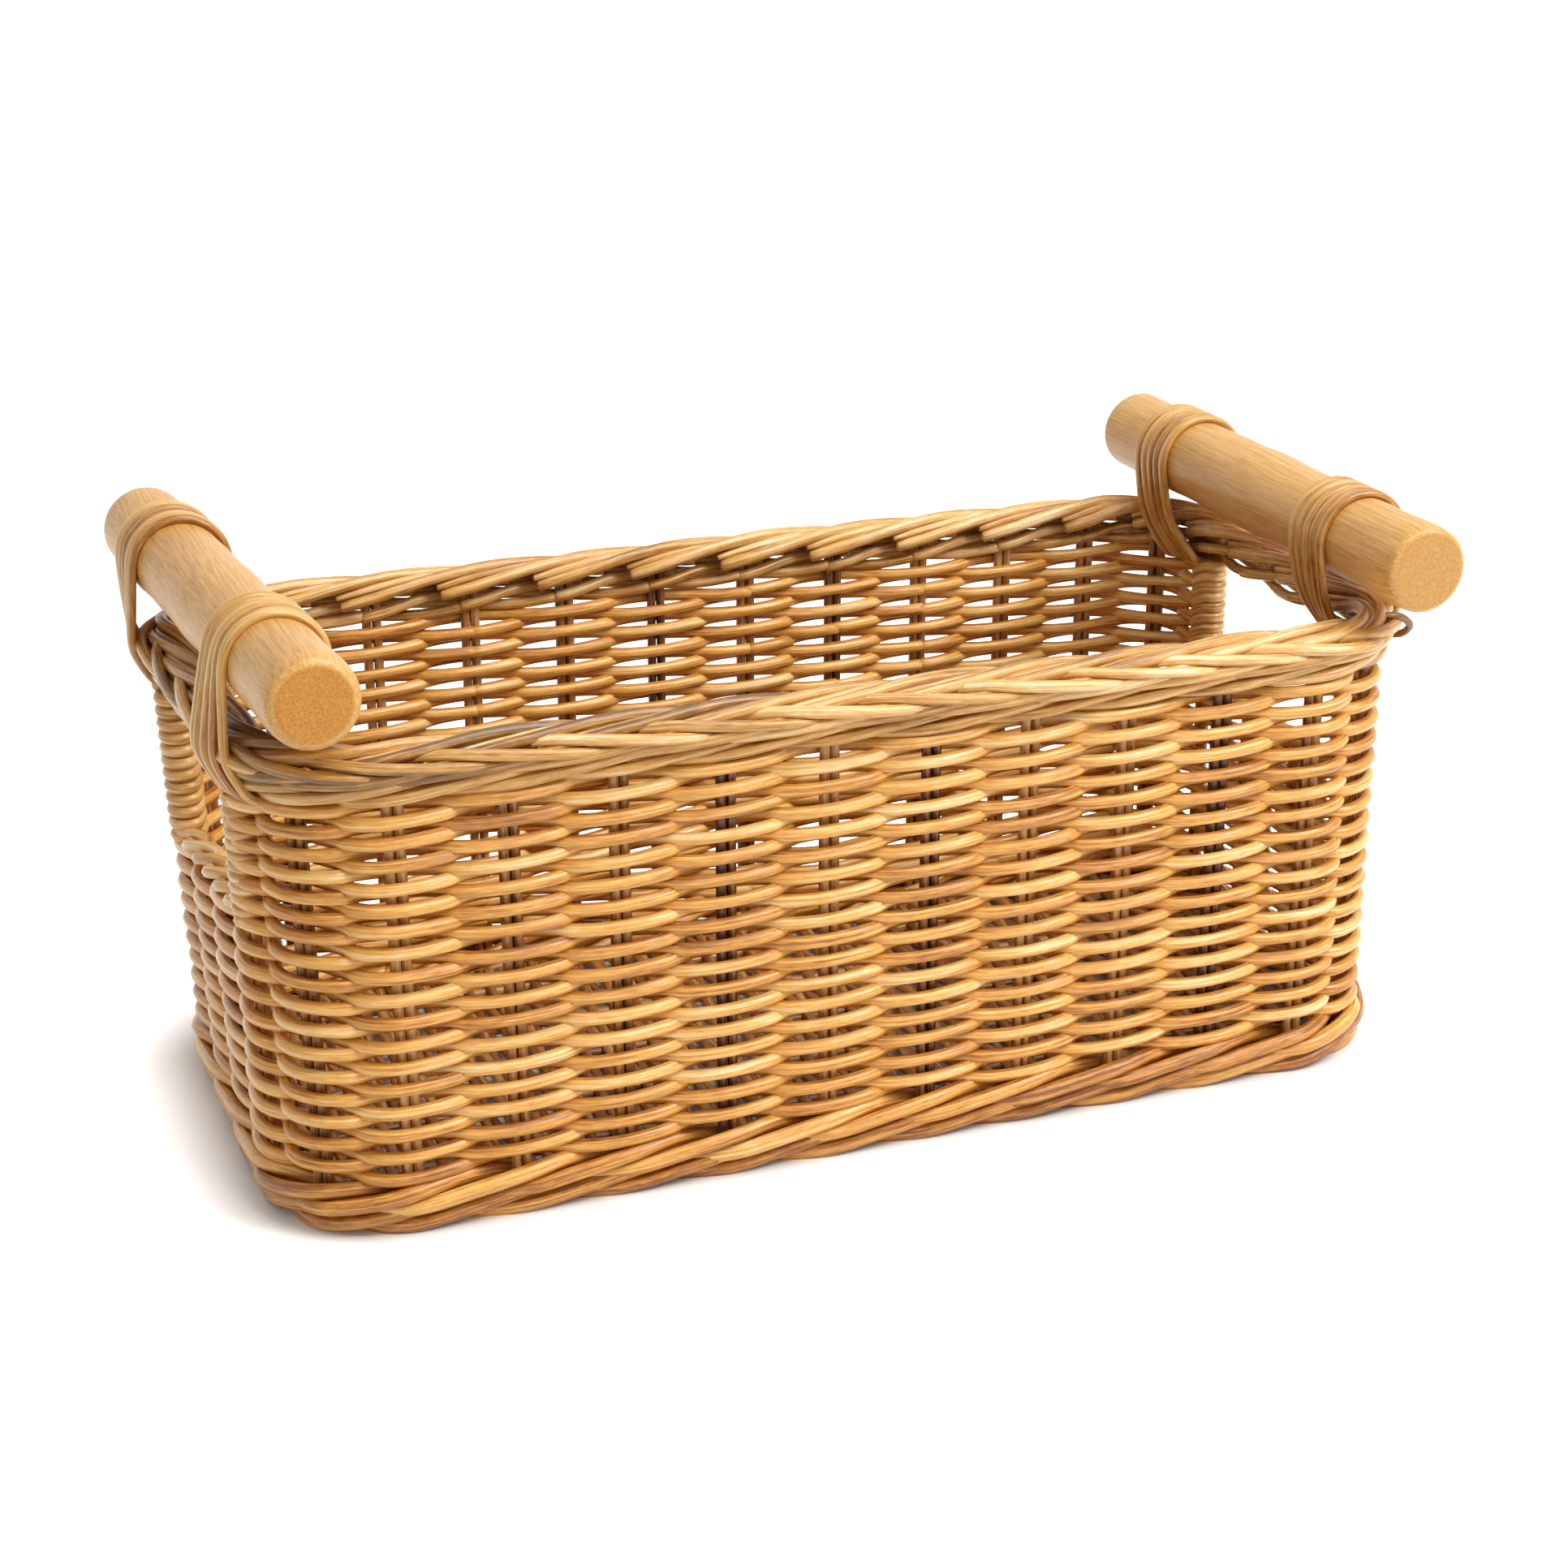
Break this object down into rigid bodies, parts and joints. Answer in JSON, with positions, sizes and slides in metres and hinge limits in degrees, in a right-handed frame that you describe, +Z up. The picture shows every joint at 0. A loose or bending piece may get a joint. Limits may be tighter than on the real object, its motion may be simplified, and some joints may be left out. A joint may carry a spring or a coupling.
{
  "type": "woven storage basket",
  "caption": "Open rectangular basket of woven cane with a rolled border, wrapped hand holes and two round poles lashed over its short walls.",
  "frame": {"origin": "middle of the foot, on the surface that the basket stands on, under the middle of the whole part", "axes": "+X along the basket's length, +Y from the front long wall to the back one, +Z up"},
  "size_m": [0.4032, 0.202, 0.1969],
  "materials": {
    "weave": "honey-coloured peeled cane under a satin varnish",
    "base_weave": "darker peeled cane, satin varnish",
    "rim": "pale straw-coloured cane, satin varnish",
    "stake": "brown cane rods, satin",
    "pole": "pale tan rattan pole with fine grain, satin varnish",
    "lashing": "split cane, satin varnish"
  },
  "bodies": {
    "root": {"base_stick_1": "stake", "base_stick_2": "stake", "base_stick_3": "stake", "base_stick_4": "stake", "base_stick_5": "stake", "base_weave": "base_weave", "foot_border": "weave", "lashing_back_left": "lashing", "lashing_back_right": "lashing", "lashing_front_left": "lashing", "lashing_front_right": "lashing", "lower_weave": "weave", "pole_left": "pole", "pole_right": "pole", "rolled_border": "rim", "sill_cap_left": "rim", "sill_cap_right": "rim", "stake_pair_back_01": "stake", "stake_pair_back_02": "stake", "stake_pair_back_03": "stake", "stake_pair_back_04": "stake", "stake_pair_back_05": "stake", "stake_pair_back_06": "stake", "stake_pair_back_07": "stake", "stake_pair_back_08": "stake", "stake_pair_back_09": "stake", "stake_pair_back_10": "stake", "stake_pair_corner_back_left": "stake", "stake_pair_corner_back_right": "stake", "stake_pair_corner_front_left": "stake", "stake_pair_corner_front_right": "stake", "stake_pair_front_01": "stake", "stake_pair_front_02": "stake", "stake_pair_front_03": "stake", "stake_pair_front_04": "stake", "stake_pair_front_05": "stake", "stake_pair_front_06": "stake", "stake_pair_front_07": "stake", "stake_pair_front_08": "stake", "stake_pair_front_09": "stake", "stake_pair_front_10": "stake", "stake_pair_left_1": "stake", "stake_pair_left_2": "stake", "stake_pair_post_back_left": "stake", "stake_pair_post_back_right": "stake", "stake_pair_post_front_left": "stake", "stake_pair_post_front_right": "stake", "stake_pair_right_1": "stake", "stake_pair_right_2": "stake", "top_waling": "weave", "upper_weave_back": "weave", "upper_weave_front": "weave", "wrapped_post_back_left": "rim", "wrapped_post_back_right": "rim", "wrapped_post_front_left": "rim", "wrapped_post_front_right": "rim"}
  },
  "joints": []
}
